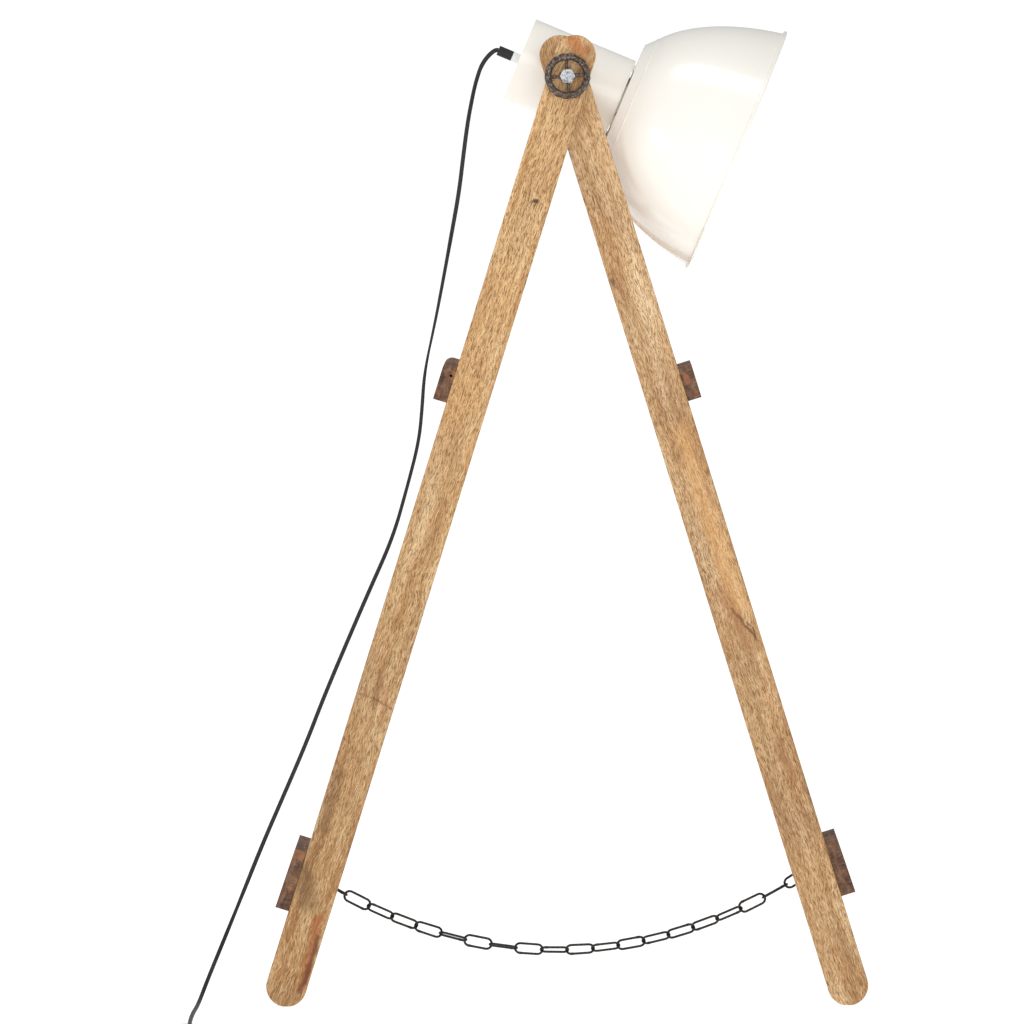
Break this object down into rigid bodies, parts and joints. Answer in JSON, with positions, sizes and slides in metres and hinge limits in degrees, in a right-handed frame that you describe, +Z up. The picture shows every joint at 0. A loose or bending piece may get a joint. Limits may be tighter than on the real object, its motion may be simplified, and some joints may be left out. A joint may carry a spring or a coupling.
{
  "type": "adjustable floor lamp",
  "caption": "Folding wooden A-frame floor lamp with a tilting spun metal shade, clamp handwheels, a limiting chain between the feet and a corded foot switch.",
  "frame": {"origin": "on the floor, midway between the outer and the inner feet and under the clamp bolts", "axes": "+Z up; +X from the outer legs' feet towards the inner legs' feet, the way the shade looks; Y along the rungs and the clamp bolts, the near handwheel at -Y"},
  "size_m": [0.8394, 0.8275, 1.213],
  "materials": {
    "mango_wood": "satin",
    "stained_wood": "satin",
    "white_enamel": "gloss",
    "cast_iron": "rough",
    "chain_iron": "satin",
    "zinc": "satin",
    "black_plastic": "matte",
    "clear_plastic": "gloss",
    "cord_pvc": "satin",
    "brass": "satin",
    "holder_plastic": "gloss",
    "terminal_plastic": "matte"
  },
  "bodies": {
    "outer_frame": {"outer_leg_near": "mango_wood", "outer_leg_far": "mango_wood", "outer_upper_rung": "stained_wood", "outer_lower_rung": "stained_wood", "outer_rung_screws": "zinc", "outer_chain_eye": "chain_iron", "leg_washers": "zinc", "handwheel_washers": "zinc", "chain_link_01": "chain_iron", "chain_link_02": "chain_iron", "chain_link_03": "chain_iron", "chain_link_04": "chain_iron", "chain_link_05": "chain_iron", "chain_link_06": "chain_iron", "chain_link_07": "chain_iron", "chain_link_08": "chain_iron", "chain_link_09": "chain_iron", "chain_link_10": "chain_iron", "cord_run": "cord_pvc", "cord_link": "cord_pvc", "cord_coil": "cord_pvc", "coil_tie": "black_plastic", "foot_switch_tray": "black_plastic", "foot_switch_cover": "black_plastic", "plug_body": "black_plastic", "plug_pins": "brass"},
    "inner_frame": {"inner_leg_near": "mango_wood", "inner_leg_far": "mango_wood", "inner_upper_rung": "stained_wood", "inner_lower_rung": "stained_wood", "inner_rung_screws": "zinc", "inner_chain_eye": "chain_iron", "chain_link_11": "chain_iron", "chain_link_12": "chain_iron", "chain_link_13": "chain_iron", "chain_link_14": "chain_iron", "chain_link_15": "chain_iron", "chain_link_16": "chain_iron", "chain_link_17": "chain_iron", "chain_link_18": "chain_iron", "chain_link_19": "chain_iron", "chain_link_20": "chain_iron"},
    "lamp_head": {"head_tube": "white_enamel", "head_back_plate": "white_enamel", "shade": "white_enamel", "shade_tabs": "white_enamel", "pivot_spacers": "white_enamel", "pivot_nuts": "zinc", "cord_gland": "clear_plastic", "cord_grip": "black_plastic", "terminal_block": "terminal_plastic", "lampholder_body": "holder_plastic", "lampholder_sleeve": "brass", "lampholder_contact": "brass", "lampholder_strap": "zinc"},
    "wheel_near": {"handwheel_near": "cast_iron", "clamp_bolt_near": "zinc"},
    "wheel_far": {"handwheel_far": "cast_iron", "clamp_bolt_far": "zinc"},
    "switch_button": {"foot_switch_button": "black_plastic"}
  },
  "joints": [
    {"name": "leg_fold", "type": "hinge", "parent": "outer_frame", "child": "inner_frame", "pos_m": [0, 0, 1.143], "axis": [0, 1, 0], "range_deg": [-2.4, 33], "deforming": ["chain_link_01", "chain_link_02", "chain_link_03", "chain_link_04", "chain_link_05", "chain_link_06", "chain_link_07", "chain_link_08", "chain_link_09", "chain_link_10", "chain_link_11", "chain_link_12", "chain_link_13", "chain_link_14", "chain_link_15", "chain_link_16", "chain_link_17", "chain_link_18", "chain_link_19", "chain_link_20"]},
    {"name": "head_tilt", "type": "hinge", "parent": "outer_frame", "child": "lamp_head", "pos_m": [0, 0, 1.143], "axis": [0, -1, 0], "range_deg": [-0.5, 112], "deforming": ["cord_run"]},
    {"name": "near_handwheel_turn", "type": "hinge", "parent": "outer_frame", "child": "wheel_near", "pos_m": [0, 0, 1.143], "axis": [0, -1, 0], "continuous": true},
    {"name": "far_handwheel_turn", "type": "hinge", "parent": "outer_frame", "child": "wheel_far", "pos_m": [0, 0, 1.143], "axis": [0, 1, 0], "continuous": true},
    {"name": "switch_push", "type": "slide", "parent": "outer_frame", "child": "switch_button", "axis": [0, 0, -1], "range_m": [0, 0.003], "stiffness_N_per_m": 600, "springref_m": -0.001}
  ]
}
